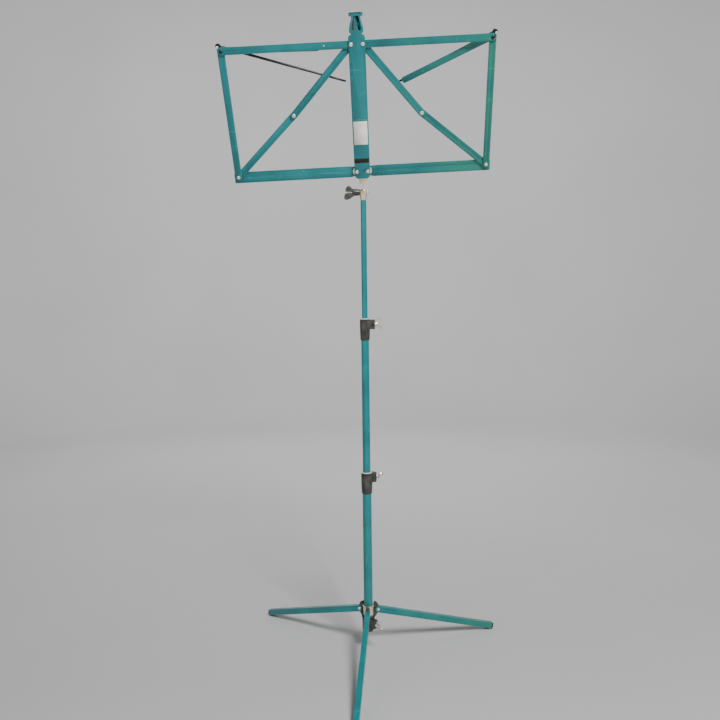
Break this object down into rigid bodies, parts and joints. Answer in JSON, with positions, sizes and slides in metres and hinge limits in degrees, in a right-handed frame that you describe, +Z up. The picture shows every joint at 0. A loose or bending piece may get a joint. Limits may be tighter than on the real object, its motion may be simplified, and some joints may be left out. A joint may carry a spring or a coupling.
{
  "type": "folding music stand",
  "caption": "Folding music stand: tripod, telescoping tubes with screw clamps, tilting desk of riveted flat bars that folds up beside its spine.",
  "frame": {"origin": "centre of the bounding box on the floor", "axes": "+Z up along the tubes, +Y towards the player, who sees the sheet music, -Y the back of the desk, +X to the right when looking along +Y"},
  "size_m": [0.5194, 0.456, 1.1692],
  "materials": {
    "base_clamp_body": "moulded black plastic",
    "base_clamp_pad": "white nylon",
    "base_clamp_screw": "nickel plated steel",
    "foot_front": "black rubber",
    "foot_left": "black rubber",
    "foot_right": "black rubber",
    "hub_crown": "moulded black plastic",
    "hub_sleeve": "yellow zinc plated steel",
    "label": "blank paper label",
    "left_arm": "gloss turquoise paint",
    "left_brace_lower": "gloss turquoise paint",
    "left_brace_rivet": "nickel plated steel",
    "left_brace_upper": "gloss turquoise paint",
    "left_corner_clip": "nickel plated steel",
    "left_ledge": "gloss turquoise paint",
    "left_ledge_rivet": "nickel plated steel",
    "left_ledge_washer": "nickel plated steel",
    "left_lower_rivet": "nickel plated steel",
    "left_page_arm": "black coated steel rod",
    "left_side_bar": "gloss turquoise paint",
    "left_swing_bar": "gloss turquoise paint",
    "left_top_rivet": "nickel plated steel",
    "leg_front": "gloss turquoise paint",
    "leg_left": "gloss turquoise paint",
    "leg_pin_front": "nickel plated steel",
    "leg_pin_left": "nickel plated steel",
    "leg_pin_right": "nickel plated steel",
    "leg_right": "gloss turquoise paint",
    "lower_bush": "white nylon",
    "lower_clamp_body": "moulded black plastic",
    "lower_clamp_pad": "white nylon",
    "lower_clamp_screw": "nickel plated steel",
    "lower_tube": "gloss turquoise paint",
    "lower_tube_plug": "moulded black plastic",
    "middle_tube": "gloss turquoise paint",
    "neck_bolt": "nickel plated steel",
    "neck_ferrule": "yellow zinc plated steel",
    "neck_knob": "moulded black plastic",
    "neck_nut": "nickel plated steel",
    "right_arm": "gloss turquoise paint",
    "right_brace_lower": "gloss turquoise paint",
    "right_brace_rivet": "nickel plated steel",
    "right_brace_upper": "gloss turquoise paint",
    "right_corner_clip": "nickel plated steel",
    "right_ledge": "gloss turquoise paint",
    "right_ledge_rivet": "nickel plated steel",
    "right_ledge_washer": "nickel plated steel",
    "right_lower_rivet": "nickel plated steel",
    "right_page_arm": "black coated steel rod",
    "right_side_bar": "gloss turquoise paint",
    "right_swing_bar": "gloss turquoise paint",
    "right_top_rivet": "nickel plated steel",
    "spine": "gloss turquoise paint",
    "tilt_bracket": "yellow zinc plated steel",
    "top_clip": "nickel plated steel",
    "upper_bush": "white nylon",
    "upper_clamp_body": "moulded black plastic",
    "upper_clamp_pad": "white nylon",
    "upper_clamp_screw": "nickel plated steel",
    "upper_tube": "gloss turquoise paint"
  },
  "bodies": {
    "base": {"hub_crown": "hub_crown", "hub_sleeve": "hub_sleeve", "leg_pin_front": "leg_pin_front", "leg_pin_right": "leg_pin_right", "leg_pin_left": "leg_pin_left", "base_clamp_body": "base_clamp_body", "base_clamp_pad": "base_clamp_pad"},
    "base_screw": {"base_clamp_screw": "base_clamp_screw"},
    "lower_column": {"lower_tube": "lower_tube", "lower_tube_plug": "lower_tube_plug", "lower_clamp_body": "lower_clamp_body", "lower_bush": "lower_bush", "lower_clamp_pad": "lower_clamp_pad"},
    "lower_screw": {"lower_clamp_screw": "lower_clamp_screw"},
    "middle_column": {"middle_tube": "middle_tube", "upper_clamp_body": "upper_clamp_body"},
    "upper_screw": {"upper_clamp_screw": "upper_clamp_screw"},
    "swivel_bush": {"upper_bush": "upper_bush", "upper_clamp_pad": "upper_clamp_pad"},
    "upper_column": {"upper_tube": "upper_tube", "neck_ferrule": "neck_ferrule", "neck_nut": "neck_nut"},
    "neck_screw": {"neck_bolt": "neck_bolt", "neck_knob": "neck_knob"},
    "desk": {"tilt_bracket": "tilt_bracket", "spine": "spine", "label": "label", "top_clip": "top_clip", "left_top_rivet": "left_top_rivet", "right_top_rivet": "right_top_rivet", "left_ledge_rivet": "left_ledge_rivet", "right_ledge_rivet": "right_ledge_rivet", "left_ledge_washer": "left_ledge_washer", "right_ledge_washer": "right_ledge_washer"},
    "leg_front_body": {"leg_front": "leg_front", "foot_front": "foot_front"},
    "leg_right_body": {"leg_right": "leg_right", "foot_right": "foot_right"},
    "leg_left_body": {"leg_left": "leg_left", "foot_left": "foot_left"},
    "left_arm_body": {"left_arm": "left_arm", "left_corner_clip": "left_corner_clip"},
    "left_side_body": {"left_side_bar": "left_side_bar", "left_lower_rivet": "left_lower_rivet"},
    "left_ledge_body": {"left_ledge": "left_ledge"},
    "left_upper_brace_body": {"left_brace_upper": "left_brace_upper", "left_brace_rivet": "left_brace_rivet"},
    "left_lower_brace_body": {"left_brace_lower": "left_brace_lower"},
    "left_swing_body": {"left_swing_bar": "left_swing_bar"},
    "left_page_body": {"left_page_arm": "left_page_arm"},
    "right_arm_body": {"right_arm": "right_arm", "right_corner_clip": "right_corner_clip"},
    "right_side_body": {"right_side_bar": "right_side_bar", "right_lower_rivet": "right_lower_rivet"},
    "right_ledge_body": {"right_ledge": "right_ledge"},
    "right_upper_brace_body": {"right_brace_upper": "right_brace_upper", "right_brace_rivet": "right_brace_rivet"},
    "right_lower_brace_body": {"right_brace_lower": "right_brace_lower"},
    "right_swing_body": {"right_swing_bar": "right_swing_bar"},
    "right_page_body": {"right_page_arm": "right_page_arm"}
  },
  "joints": [
    {"name": "leg_front_fold", "type": "hinge", "parent": "base", "child": "leg_front_body", "pos_m": [-0.00825, 0.0288, 0.08009], "axis": [0.9936, -0.1132, 0], "range_deg": [0, 73]},
    {"name": "leg_right_fold", "type": "hinge", "parent": "base", "child": "leg_right_body", "pos_m": [0.01223, 0.05365, 0.08009], "axis": [-0.3007, 0.9537, 0], "range_deg": [0, 73]},
    {"name": "leg_left_fold", "type": "hinge", "parent": "base", "child": "leg_left_body", "pos_m": [-0.02089, 0.06009, 0.08009], "axis": [-0.6361, -0.7716, 0], "range_deg": [0, 73]},
    {"name": "base_screw_turn", "type": "hinge", "parent": "base", "child": "base_screw", "pos_m": [-0.00608, 0.04788, 0.05659], "axis": [0.6691, -0.7431, 0], "range_deg": [-30, 720]},
    {"name": "crown_slide", "type": "slide", "parent": "base", "child": "lower_column", "axis": [0, 0, 1], "range_m": [-0.215, 0]},
    {"name": "lower_screw_turn", "type": "hinge", "parent": "lower_column", "child": "lower_screw", "pos_m": [-0.00608, 0.04788, 0.34559], "axis": [0.848, 0.5299, 0], "range_deg": [-30, 720]},
    {"name": "middle_tube_slide", "type": "slide", "parent": "lower_column", "child": "middle_column", "axis": [0, 0, 1], "range_m": [-0.245, 0.03]},
    {"name": "upper_screw_turn", "type": "hinge", "parent": "middle_column", "child": "upper_screw", "pos_m": [-0.00608, 0.04788, 0.64509], "axis": [0.9703, -0.2419, 0], "range_deg": [-30, 720]},
    {"name": "desk_swivel", "type": "hinge", "parent": "middle_column", "child": "swivel_bush", "pos_m": [-0.00608, 0.04788, 0.00009], "axis": [0, 0, 1], "continuous": true},
    {"name": "upper_tube_slide", "type": "slide", "parent": "swivel_bush", "child": "upper_column", "axis": [0, 0, 1], "range_m": [-0.21, 0.03]},
    {"name": "neck_screw_turn", "type": "hinge", "parent": "upper_column", "child": "neck_screw", "pos_m": [-0.00608, 0.04788, 0.89559], "axis": [-1, 0, 0], "range_deg": [-30, 720]},
    {"name": "desk_tilt", "type": "hinge", "parent": "upper_column", "child": "desk", "pos_m": [-0.00608, 0.04788, 0.89559], "axis": [1, 0, 0], "range_deg": [-30, 60]},
    {"name": "left_wing_fold", "type": "hinge", "parent": "desk", "child": "left_arm_body", "pos_m": [-0.02842, -0.08394, 1.12207], "axis": [0, 0.8643, 0.503], "range_deg": [0, 84]},
    {"name": "left_side_bar_turn", "type": "hinge", "parent": "left_arm_body", "child": "left_side_body", "pos_m": [-0.25018, -0.07877, 1.1132], "axis": [0, 0.8643, 0.503], "range_deg": [-84, 0]},
    {"name": "left_ledge_fold", "type": "hinge", "parent": "desk", "child": "left_ledge_body", "pos_m": [-0.01815, 0.02762, 0.93041], "axis": [0, 0.8643, 0.503], "range_deg": [0, 84]},
    {"name": "left_upper_brace_turn", "type": "hinge", "parent": "desk", "child": "left_upper_brace_body", "pos_m": [-0.02842, -0.08394, 1.12207], "axis": [0, 0.8643, 0.503], "range_deg": [-42.26, 0]},
    {"name": "left_lower_brace_turn", "type": "hinge", "parent": "left_side_body", "child": "left_lower_brace_body", "pos_m": [-0.23991, 0.03278, 0.92154], "axis": [0, 0.8643, 0.503], "range_deg": [0, 126.26]},
    {"name": "left_swing_bar_turn", "type": "hinge", "parent": "left_arm_body", "child": "left_swing_body", "pos_m": [-0.25018, -0.07877, 1.1132], "axis": [0, 0.8643, 0.503], "range_deg": [-1.2, 73.8]},
    {"name": "left_page_arm_turn", "type": "hinge", "parent": "left_arm_body", "child": "left_page_body", "pos_m": [-0.25548, -0.08197, 1.1187], "axis": [0, 0.8643, 0.503], "range_deg": [-17.6, 57.4]},
    {"name": "right_wing_fold", "type": "hinge", "parent": "desk", "child": "right_arm_body", "pos_m": [-0.00804, -0.08441, 1.12289], "axis": [0, -0.8643, -0.503], "range_deg": [0, 84]},
    {"name": "right_side_bar_turn", "type": "hinge", "parent": "right_arm_body", "child": "right_side_body", "pos_m": [0.21372, -0.08957, 1.13176], "axis": [0, -0.8643, -0.503], "range_deg": [-84, 0]},
    {"name": "right_ledge_fold", "type": "hinge", "parent": "desk", "child": "right_ledge_body", "pos_m": [0.00223, 0.02714, 0.93122], "axis": [0, -0.8643, -0.503], "range_deg": [0, 84]},
    {"name": "right_upper_brace_turn", "type": "hinge", "parent": "desk", "child": "right_upper_brace_body", "pos_m": [-0.00804, -0.08441, 1.12289], "axis": [0, -0.8643, -0.503], "range_deg": [-38.77, 0]},
    {"name": "right_lower_brace_turn", "type": "hinge", "parent": "right_side_body", "child": "right_lower_brace_body", "pos_m": [0.22399, 0.02198, 0.94009], "axis": [0, -0.8643, -0.503], "range_deg": [0, 122.77]},
    {"name": "right_swing_bar_turn", "type": "hinge", "parent": "right_arm_body", "child": "right_swing_body", "pos_m": [0.21372, -0.08957, 1.13176], "axis": [0, -0.8643, -0.503], "range_deg": [-22.8, 52.2]},
    {"name": "right_page_arm_turn", "type": "hinge", "parent": "right_arm_body", "child": "right_page_body", "pos_m": [0.21841, -0.09301, 1.13766], "axis": [0, -0.8643, -0.503], "range_deg": [-24, 51]}
  ],
  "couplings": [
    {"joint": "left_side_bar_turn", "follows": "left_wing_fold", "ratio": -1},
    {"joint": "left_ledge_fold", "follows": "left_wing_fold", "ratio": 1},
    {"joint": "left_upper_brace_turn", "follows": "left_wing_fold", "ratio": -0.50306},
    {"joint": "left_lower_brace_turn", "follows": "left_wing_fold", "ratio": 1.5031},
    {"joint": "right_side_bar_turn", "follows": "right_wing_fold", "ratio": -1},
    {"joint": "right_ledge_fold", "follows": "right_wing_fold", "ratio": 1},
    {"joint": "right_upper_brace_turn", "follows": "right_wing_fold", "ratio": -0.46157},
    {"joint": "right_lower_brace_turn", "follows": "right_wing_fold", "ratio": 1.4616}
  ]
}
